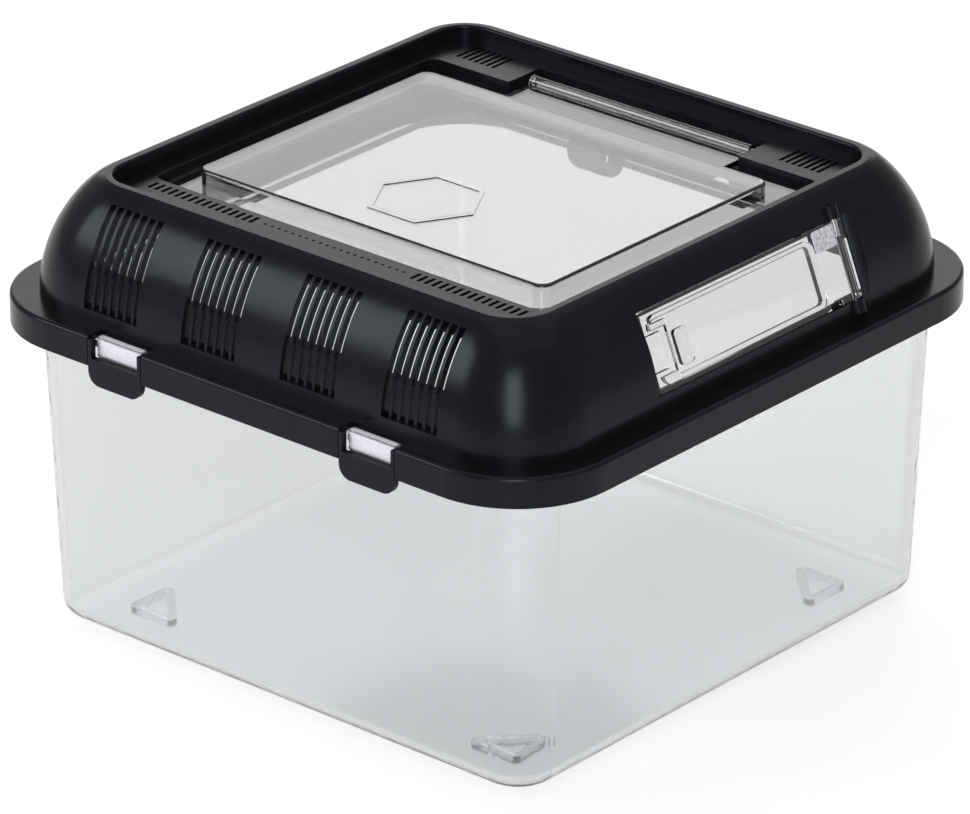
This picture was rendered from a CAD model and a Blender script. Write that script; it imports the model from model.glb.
import math

import bmesh
import bpy
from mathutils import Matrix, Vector


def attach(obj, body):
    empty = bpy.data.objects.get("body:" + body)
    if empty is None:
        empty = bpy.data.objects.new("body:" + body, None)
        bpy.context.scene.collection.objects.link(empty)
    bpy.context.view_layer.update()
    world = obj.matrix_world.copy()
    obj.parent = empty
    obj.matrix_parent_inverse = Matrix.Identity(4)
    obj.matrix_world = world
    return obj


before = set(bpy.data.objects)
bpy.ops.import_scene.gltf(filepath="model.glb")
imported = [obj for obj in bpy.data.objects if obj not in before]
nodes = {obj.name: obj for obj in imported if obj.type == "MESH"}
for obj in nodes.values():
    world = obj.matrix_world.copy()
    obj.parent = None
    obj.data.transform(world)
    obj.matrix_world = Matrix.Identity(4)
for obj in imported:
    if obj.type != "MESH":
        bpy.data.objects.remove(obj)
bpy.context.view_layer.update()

# ---- camera ----------------------------------------------------------------------------------

CAMERA_AZIMUTH = math.radians(40.77)     # 0 looks along +Y
CAMERA_ELEVATION = math.radians(24.30)
CAMERA_DISTANCE = 1.969
CAMERA_TARGET = Vector((0, 0, 0.074))
CAMERA_LENS = 262.2
CAMERA_SHIFT = (-0.0035, -0.0442)
CAMERA_REACH = 60


def add_camera():
    data = bpy.data.cameras.new("camera")
    camera = bpy.data.objects.new("camera", data)
    bpy.context.scene.collection.objects.link(camera)
    back = Vector((
        math.sin(CAMERA_AZIMUTH) * math.cos(CAMERA_ELEVATION),
        -math.cos(CAMERA_AZIMUTH) * math.cos(CAMERA_ELEVATION),
        math.sin(CAMERA_ELEVATION),
    ))
    camera.location = CAMERA_TARGET + back * CAMERA_DISTANCE
    camera.rotation_euler = (-back).to_track_quat("-Z", "Y").to_euler()
    data.lens = CAMERA_LENS
    data.shift_x, data.shift_y = CAMERA_SHIFT
    data.clip_end = CAMERA_REACH
    bpy.context.scene.camera = camera


# ---- node helpers ----------------------------------------------------------------------------


class Shader:
    """A material's node tree, with short ways to add, join and set nodes."""

    def __init__(self, name):
        self.material = bpy.data.materials.new(name)
        self.material.use_nodes = True
        self.tree = self.material.node_tree
        self.tree.nodes.clear()
        self.output = self.tree.nodes.new("ShaderNodeOutputMaterial")

    def add(self, kind, **values):
        node = self.tree.nodes.new(kind)
        for key, value in values.items():
            if hasattr(node, key):
                setattr(node, key, value)
            else:
                node.inputs[key.replace("_", " ")].default_value = value
        return node

    def join(self, start, end):
        self.tree.links.new(start, end)

    def blended(self, factor, first, second):
        """A colour that goes from first to second as factor goes from 0 to 1."""
        mix = self.add("ShaderNodeMix", data_type="RGBA")
        mix.inputs["A"].default_value = (*first, 1)
        mix.inputs["B"].default_value = (*second, 1)
        self.join(factor, mix.inputs["Factor"])
        return mix.outputs["Result"]

    def bumped(self, shader, height, strength, distance):
        """Gives a shader a bumped normal from a height."""
        bump = self.add("ShaderNodeBump", Strength=strength, Distance=distance)
        self.join(height, bump.inputs["Height"])
        self.join(bump.outputs["Normal"], shader.inputs["Normal"])

    def crossed(self, factor, first, second):
        """A shader that goes from first to second as factor goes from 0 to 1."""
        mix = self.add("ShaderNodeMixShader")
        self.join(factor, mix.inputs["Fac"])
        self.join(first.outputs["BSDF"], mix.inputs[1])
        self.join(second.outputs["BSDF"], mix.inputs[2])
        self.join(mix.outputs["Shader"], self.output.inputs["Surface"])


def noise(s, coordinates, scale, detail=3.0, roughness=0.5):
    """A noise texture of a given scale per metre."""
    texture = s.add("ShaderNodeTexNoise", Scale=scale, Detail=detail, Roughness=roughness)
    s.join(coordinates, texture.inputs["Vector"])
    return texture.outputs["Fac"]


def mapped(s, value, low, high, start=0.3, end=0.7):
    """Takes value from the range start..end to the range low..high."""
    node = s.add("ShaderNodeMapRange")
    node.inputs["From Min"].default_value = start
    node.inputs["From Max"].default_value = end
    node.inputs["To Min"].default_value = low
    node.inputs["To Max"].default_value = high
    s.join(value, node.inputs["Value"])
    return node.outputs["Result"]


# ---- materials -------------------------------------------------------------------------------

BLACK_IOR = 1.5
CLEAR_IOR = 1.57                         # polystyrene
SCUFF_HEIGHT = 0.003                     # the scuffed floor's haze fades out over this height
SCUFF_HAZE = 0.13
HAZY_BELOW = 0.0045                      # just above the floor of the tub
TUB_DENSITY = 200.0                      # absorption per metre of plastic
LID_DENSITY = 110.0                      # the top door and the hatch


def black_plastic():
    """Satin black injection moulding: a fine spark-eroded grain and slow waves in the gloss."""
    s = Shader("black_plastic")
    place = s.add("ShaderNodeTexCoord").outputs["Object"]
    bsdf = s.add("ShaderNodeBsdfPrincipled")
    bsdf.inputs["IOR"].default_value = BLACK_IOR
    bsdf.inputs["Specular IOR Level"].default_value = 0.15
    bsdf.inputs["Specular Tint"].default_value = (0.76, 0.87, 1.0, 1)
    tint = s.blended(noise(s, place, scale=90), (0.004, 0.004, 0.005), (0.007, 0.007, 0.009))
    s.join(tint, bsdf.inputs["Base Color"])
    gloss = mapped(s, noise(s, place, scale=45, detail=4.0), low=0.20, high=0.27)
    s.join(gloss, bsdf.inputs["Roughness"])
    s.bumped(bsdf, noise(s, place, scale=3200, detail=2.0), strength=0.10, distance=0.00005)
    s.join(bsdf.outputs["BSDF"], s.output.inputs["Surface"])
    return s.material


def clear_plastic(name, density, colour, roughness=0.02, hazy_below=None):
    """Clear polystyrene: bends light as a solid wall does, with a cool tint that deepens with the
    length of plastic the light crosses. Lamps shine through it, so what is inside stays lit.
    Below a given height it is hazier, as on a floor that is scuffed by use."""
    s = Shader(name)
    place = s.add("ShaderNodeTexCoord").outputs["Object"]
    glass = s.add("ShaderNodeBsdfPrincipled")
    glass.inputs["Transmission Weight"].default_value = 1.0
    glass.inputs["IOR"].default_value = CLEAR_IOR
    glass.inputs["Base Color"].default_value = (*colour, 1)
    haze = mapped(s, noise(s, place, scale=30), low=roughness * 0.5, high=roughness * 1.5)
    if hazy_below:
        height = s.add("ShaderNodeSeparateXYZ")
        s.join(place, height.inputs["Vector"])
        scuff = s.add("ShaderNodeMath", operation="ADD")
        s.join(haze, scuff.inputs[0])
        scuffed = mapped(
            s, height.outputs["Z"], low=SCUFF_HAZE, high=0.0,
            start=hazy_below, end=hazy_below + SCUFF_HEIGHT,
        )
        s.join(scuffed, scuff.inputs[1])
        haze = scuff.outputs["Value"]
    s.join(haze, glass.inputs["Roughness"])
    s.bumped(glass, noise(s, place, scale=38, detail=2.0), strength=0.012, distance=0.0004)
    clear = s.add("ShaderNodeBsdfTransparent")
    clear.inputs["Color"].default_value = (0.93, 0.94, 0.95, 1)
    s.crossed(s.add("ShaderNodeLightPath").outputs["Is Shadow Ray"], glass, clear)
    absorb = s.add("ShaderNodeVolumeAbsorption")
    absorb.inputs["Color"].default_value = (0.68, 0.69, 0.70, 1)
    absorb.inputs["Density"].default_value = density
    s.join(absorb.outputs["Volume"], s.output.inputs["Volume"])
    return s.material


def frosted_plastic(name, low, high, colour):
    """A fine spark-eroded face on clear plastic: a milky skin that lets part of the view by."""
    s = Shader(name)
    place = s.add("ShaderNodeTexCoord").outputs["Object"]
    skin = s.add("ShaderNodeBsdfPrincipled")
    skin.inputs["Base Color"].default_value = (*colour, 1)
    skin.inputs["IOR"].default_value = CLEAR_IOR
    skin.inputs["Roughness"].default_value = 0.38
    s.bumped(skin, noise(s, place, scale=2600), strength=0.35, distance=0.00008)
    clear = s.add("ShaderNodeBsdfTransparent")
    grain = noise(s, place, scale=900, detail=4.0, roughness=0.7)
    s.crossed(mapped(s, grain, low, high, start=0.35, end=0.65), clear, skin)
    return s.material


def pin_steel():
    """Drawn wire, with slow changes in its gloss."""
    s = Shader("pin_steel")
    place = s.add("ShaderNodeTexCoord").outputs["Object"]
    bsdf = s.add("ShaderNodeBsdfPrincipled")
    bsdf.inputs["Base Color"].default_value = (0.55, 0.56, 0.58, 1)
    bsdf.inputs["Metallic"].default_value = 1.0
    s.join(mapped(s, noise(s, place, scale=900), low=0.25, high=0.45), bsdf.inputs["Roughness"])
    s.join(bsdf.outputs["BSDF"], s.output.inputs["Surface"])
    return s.material


def floor_white():
    """A pale floor that glows a little, as a light table does, so shadows on it stay soft."""
    s = Shader("floor_white")
    place = s.add("ShaderNodeTexCoord").outputs["Object"]
    bsdf = s.add("ShaderNodeBsdfPrincipled")
    bsdf.inputs["Roughness"].default_value = 0.6
    tint = s.blended(noise(s, place, scale=3), (0.52, 0.52, 0.52), (0.54, 0.54, 0.54))
    s.join(tint, bsdf.inputs["Base Color"])
    bsdf.inputs["Emission Color"].default_value = (1, 1, 1, 1)
    bsdf.inputs["Emission Strength"].default_value = 0.54
    s.join(bsdf.outputs["BSDF"], s.output.inputs["Surface"])
    return s.material


# ---- surfaces of the CAD pieces --------------------------------------------------------------


HOOD_EDGE = 0.00018
LATCH_EDGE = 0.00025
EDGE_SEGMENTS = 2
EDGE_ANGLE = math.radians(40)            # edges sharper than this are rounded


def dress(node, material, bevel=0.0):
    """Gives a CAD node its material, smooth faces and softly rounded moulded edges."""
    piece = nodes[node]
    piece.data.materials.clear()
    piece.data.materials.append(material)
    for face in piece.data.polygons:
        face.use_smooth = True
    if bevel:
        rounding = piece.modifiers.new("moulded_edges", "BEVEL")
        rounding.width = bevel
        rounding.segments = EDGE_SEGMENTS
        rounding.limit_method = "ANGLE"
        rounding.angle_limit = EDGE_ANGLE
        rounding.harden_normals = True
        rounding.miter_outer = "MITER_ARC"


black = black_plastic()
clear_tub = clear_plastic("clear_tub", TUB_DENSITY, (0.97, 0.975, 0.975), hazy_below=HAZY_BELOW)
clear_door = clear_plastic("clear_door", LID_DENSITY, (0.64, 0.64, 0.64))
clear_hatch = clear_plastic("clear_hatch", LID_DENSITY, (0.88, 0.88, 0.88))
dress("tub", clear_tub)
dress("top_door", clear_door)
dress("feeding_hatch", clear_hatch)
dress("hatch_catch", clear_hatch)
dress("hatch_hinge_pin", pin_steel())
dress("hood", black, HOOD_EDGE)
for latch in ("latch_front_left", "latch_front_right", "latch_back_left", "latch_back_right"):
    dress(latch, black, LATCH_EDGE)

# ---- moulded finishes that the CAD pieces don't have ------------------------------------------


def new_piece(name, mesh, material, body):
    """Adds a piece that rides on a body and takes its finish from a material slot."""
    piece = bpy.data.objects.new(name, mesh)
    bpy.context.scene.collection.objects.link(piece)
    piece.data.materials.append(material)
    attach(piece, body)


EDGE_LIFT = 0.25                         # share of a skin's crown that it has at its edge


def skin_mesh(name, origin, along, up, out, outline, crown, rings=6):
    """A thin skin over an outline of (along, up) points, crowned a little along out.

    It is a closed sheet: an upper side that swells by crown, and a flat side on the plastic.
    """
    bm = bmesh.new()
    middle = Vector((sum(p[0] for p in outline), sum(p[1] for p in outline))) / len(outline)

    def at(point, lift):
        return origin + along * point[0] + up * point[1] + out * lift

    loops = []
    for ring in range(rings):
        share = 1 - ring / rings
        lift = crown * (EDGE_LIFT + (1 - EDGE_LIFT) * (1 - share**4))
        loops.append([
            bm.verts.new(at(middle + (Vector(p) - middle) * share, lift)) for p in outline
        ])
    under = [bm.verts.new(at(Vector(p), 0)) for p in outline]
    top = bm.verts.new(at(middle, crown))
    count = len(outline)
    for i in range(count):
        j = (i + 1) % count
        bm.faces.new((under[i], under[j], loops[0][j], loops[0][i]))
        for outer, inner in zip(loops, loops[1:]):
            bm.faces.new((outer[i], outer[j], inner[j], inner[i]))
        bm.faces.new((loops[-1][i], loops[-1][j], top))
    bm.faces.new(list(reversed(under)))
    bmesh.ops.recalc_face_normals(bm, faces=bm.faces)
    mesh = bpy.data.meshes.new(name)
    bm.to_mesh(mesh)
    bm.free()
    for face in mesh.polygons:
        face.use_smooth = len(face.vertices) < 5
    return mesh


def rounded(low, high, radius, steps=5):
    """Points round a rectangle with rounded corners, anticlockwise."""
    points = []
    corners = (
        (high[0] - radius, low[1] + radius, -90),
        (high[0] - radius, high[1] - radius, 0),
        (low[0] + radius, high[1] - radius, 90),
        (low[0] + radius, low[1] + radius, 180),
    )
    for x, y, start in corners:
        for step in range(steps + 1):
            turn = math.radians(start + 90 * step / steps)
            points.append((x + radius * math.cos(turn), y + radius * math.sin(turn)))
    return points


LUG_X = 0.0458
LUG_HALF = 0.00825
LUG_FACE = 0.1003
LUG_DEPTH = 0.0024
LUG_BOTTOM = 0.0948
LUG_TOP = 0.1004
LUG_SIDE_GAP = 0.0003                    # how far a skin's edge stays inside the lug's
LUG_BOTTOM_GAP = 0.0004
LUG_TOP_GAP = 0.0005
LUG_FACE_CORNER = 0.0005
LUG_TOP_CORNER = 0.0004
SKIN = 0.00006

lug_side = LUG_HALF - LUG_SIDE_GAP
lug_deep = LUG_DEPTH / 2 - LUG_SIDE_GAP
face_outline = rounded(
    (-lug_side, LUG_BOTTOM + LUG_BOTTOM_GAP), (lug_side, LUG_TOP - LUG_TOP_GAP), LUG_FACE_CORNER
)
top_outline = rounded((-lug_side, -lug_deep), (lug_side, lug_deep), LUG_TOP_CORNER)
frost_lug = frosted_plastic("frosted_lug", 0.78, 0.92, (0.74, 0.74, 0.81))
for end, side in (("front", -1), ("back", 1)):
    for hand, x in (("left", -LUG_X), ("right", LUG_X)):
        face = skin_mesh(
            "lug_face", Vector((x, side * LUG_FACE, 0)), Vector((-side, 0, 0)),
            Vector((0, 0, 1)), Vector((0, side, 0)), face_outline, SKIN,
        )
        new_piece(f"lug_face_{end}_{hand}", face, frost_lug, "tub")
        top = skin_mesh(
            "lug_top", Vector((x, side * (LUG_FACE - LUG_DEPTH / 2), LUG_TOP)),
            Vector((1, 0, 0)), Vector((0, 1, 0)), Vector((0, 0, 1)), top_outline, SKIN,
        )
        new_piece(f"lug_top_{end}_{hand}", top, frost_lug, "tub")

# The hatch's own plane, as in the CAD, and the patch in its upper corner at the hinge end
HATCH_LEAN = math.radians(22.1)
HATCH_ORIGIN = Vector((0.0905, 0.003, 0.117))
PATCH_LOW = (0.0305, 0.0046)
PATCH_HIGH = (0.0402, 0.0108)
PATCH_CORNER = 0.0008

hatch_out = Vector((math.cos(HATCH_LEAN), 0, math.sin(HATCH_LEAN)))
hatch_up = Vector((-math.sin(HATCH_LEAN), 0, math.cos(HATCH_LEAN)))
patch = skin_mesh(
    "hatch_frost", HATCH_ORIGIN, Vector((0, 1, 0)), hatch_up, hatch_out,
    rounded(PATCH_LOW, PATCH_HIGH, PATCH_CORNER), SKIN,
)
frost_hatch = frosted_plastic("frosted_hatch", 0.25, 0.75, (0.80, 0.81, 0.84))
new_piece("hatch_frost", patch, frost_hatch, "feeding_hatch")

# ---- stage and light -------------------------------------------------------------------------

FLOOR_SIZE = 24
FLOOR_DROP = 0.0003                      # keeps the floor's face off the feet's faces
WORLD_COLOUR = (0.98, 0.985, 1.0, 1)
WORLD_STRENGTH = 0.42
BOX_MIDDLE = (0, 0, 0.1)
SOFTBOXES = (                            # name, place, aim, size in metres, power in watts
    ("top_softbox", (0.1, 0.2, 1.7), (0, 0, 0.05), (2.2, 2.2), 7),
    ("left_softbox", (-1.2, -1.3, 1.0), BOX_MIDDLE, (0.8, 0.8), 12),
    ("front_softbox", (1.23, -1.57, 1.0), BOX_MIDDLE, (0.65, 1.3), 23),
    ("back_softbox", (-1.07, 1.24, 0.8), BOX_MIDDLE, (1.6, 0.9), 6),
)


def add_floor():
    bpy.ops.mesh.primitive_plane_add(size=FLOOR_SIZE, location=(0, 0, -FLOOR_DROP))
    floor = bpy.context.object
    floor.name = "floor"
    floor.data.materials.append(floor_white())


def add_softbox(name, place, aim, size, power):
    data = bpy.data.lights.new(name, "AREA")
    data.shape = "RECTANGLE"
    data.size, data.size_y = size
    data.energy = power
    lamp = bpy.data.objects.new(name, data)
    lamp.location = place
    lamp.rotation_euler = (Vector(aim) - Vector(place)).to_track_quat("-Z", "Y").to_euler()
    bpy.context.scene.collection.objects.link(lamp)


def add_world():
    world = bpy.data.worlds.new("studio")
    bpy.context.scene.world = world
    world.use_nodes = True
    back = world.node_tree.nodes["Background"]
    back.inputs["Color"].default_value = WORLD_COLOUR
    back.inputs["Strength"].default_value = WORLD_STRENGTH


add_camera()
add_floor()
add_world()
for softbox in SOFTBOXES:
    add_softbox(*softbox)
bpy.context.scene.view_settings.view_transform = "Standard"
